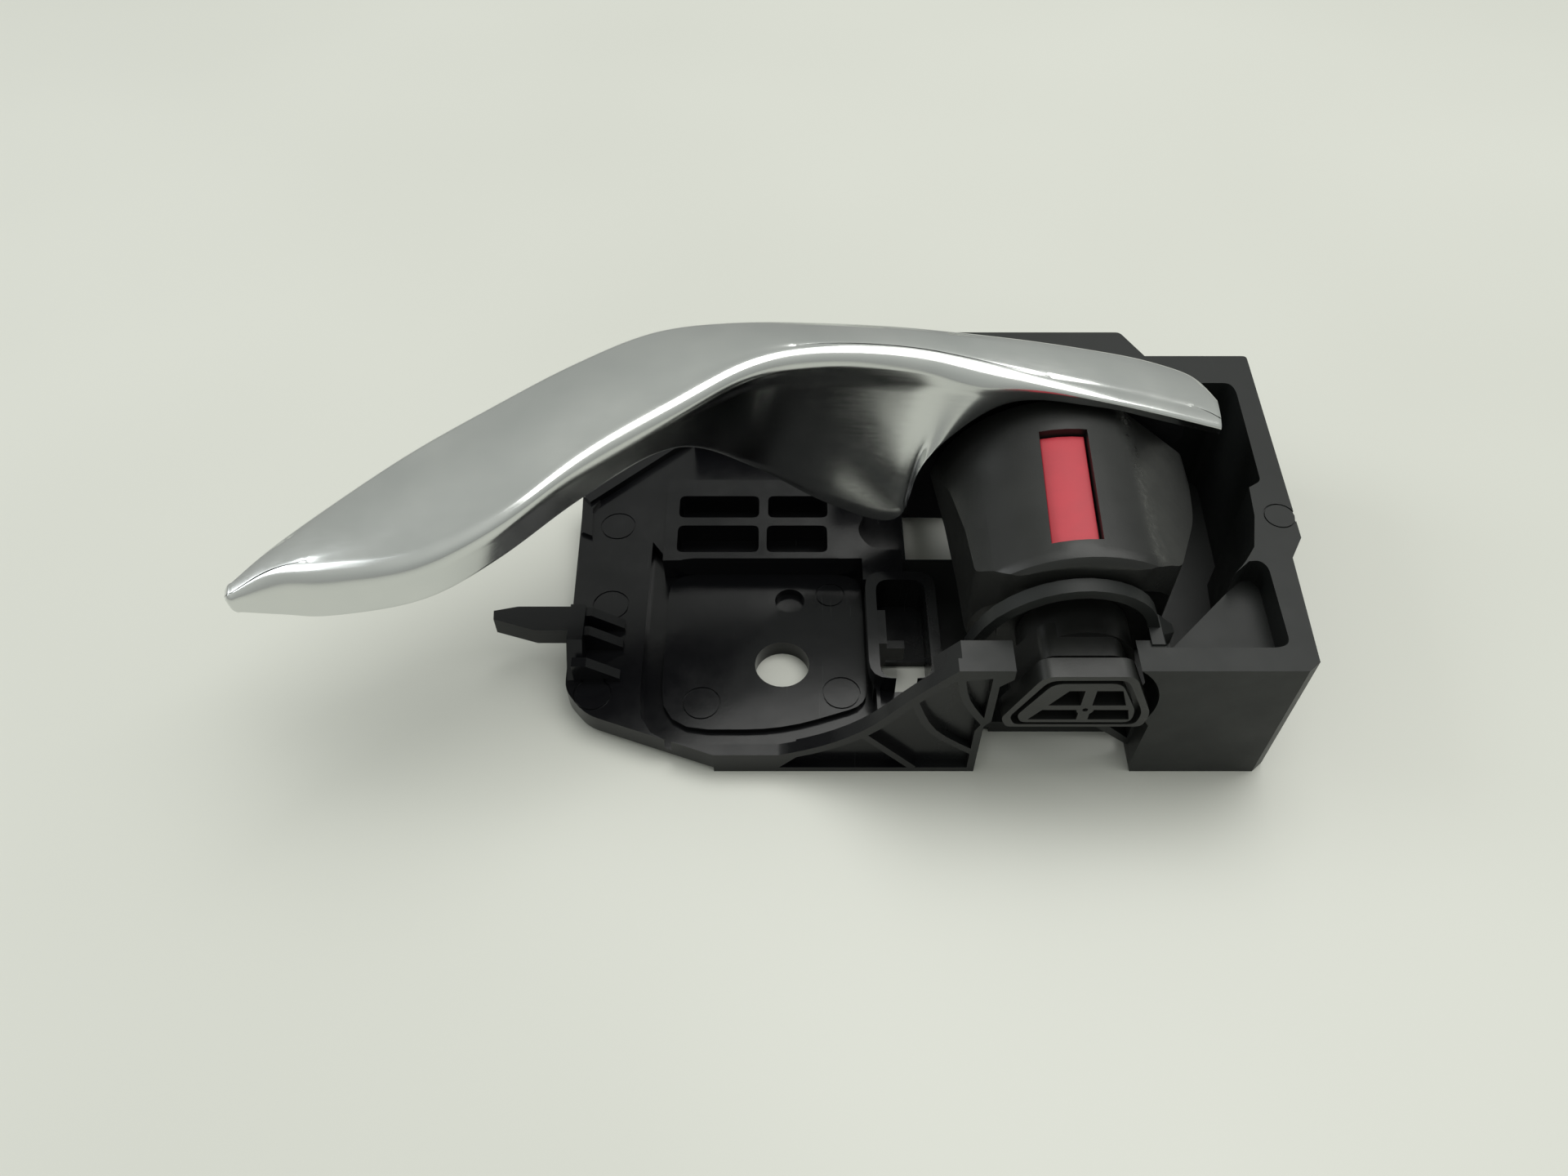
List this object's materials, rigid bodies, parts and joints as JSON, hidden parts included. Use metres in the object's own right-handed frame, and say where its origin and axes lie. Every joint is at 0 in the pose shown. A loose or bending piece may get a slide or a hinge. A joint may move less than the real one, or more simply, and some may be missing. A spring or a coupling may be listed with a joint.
{
  "type": "car door inner handle",
  "caption": "Inside door release handle: moulded housing with a chromed S-curved pull lever and a barrel lock knob with a red indicator, both on one pivot pin.",
  "frame": {"origin": "centre of the footprint, at the underside that rests on the table", "axes": "+X along the handle from the blade's tip to the block, +Y from the housing's front face to its back, parallel to the pivot pin, +Z out of the door towards the hand"},
  "size_m": [0.163, 0.0758, 0.0501],
  "materials": {
    "housing_plastic": "semi-gloss moulded black plastic, duller on the block",
    "satin_chrome": "satin chrome plating, faintly brushed along the blade",
    "carrier_plastic": "black moulded plastic",
    "knob_plastic": "fine-grained matte dark grey plastic, polished by wear along its facet",
    "indicator_red": "matte red plastic",
    "steel": "zinc-plated steel",
    "bush_plastic": "natural acetal plastic",
    "rubber": "black rubber"
  },
  "bodies": {
    "housing": {"housing": "housing_plastic", "pivot_pin": "steel", "pin_clip": "steel", "lever_rest_pad": "rubber", "lever_stop_bumper": "rubber", "knob_stop_bumper": "rubber", "knob_detent_spring": "steel", "lever_return_spring": "steel"},
    "pull_lever": {"lever_cover": "satin_chrome", "lever_carrier": "carrier_plastic", "lever_bush_near": "bush_plastic", "lever_bush_far": "bush_plastic", "lever_cable_arm": "steel", "cover_screw_1": "steel", "cover_screw_2": "steel"},
    "lock_knob": {"lock_knob": "knob_plastic", "lock_indicator": "indicator_red", "lock_shaft": "knob_plastic", "lock_crank": "steel", "knob_bush_near": "bush_plastic", "knob_bush_far": "bush_plastic"}
  },
  "joints": [
    {"name": "lever_pivot", "type": "hinge", "parent": "housing", "child": "pull_lever", "pos_m": [0.04387, 0.0151, 0.0196], "axis": [0, 1, 0], "range_deg": [0, 35], "stiffness_Nm_per_rad": 0.35, "springref_deg": -28.65, "deforming": ["lever_return_spring"]},
    {"name": "knob_pivot", "type": "hinge", "parent": "housing", "child": "lock_knob", "pos_m": [0.04387, -0.0099, 0.0196], "axis": [0, 1, 0], "range_deg": [0, 25]}
  ]
}
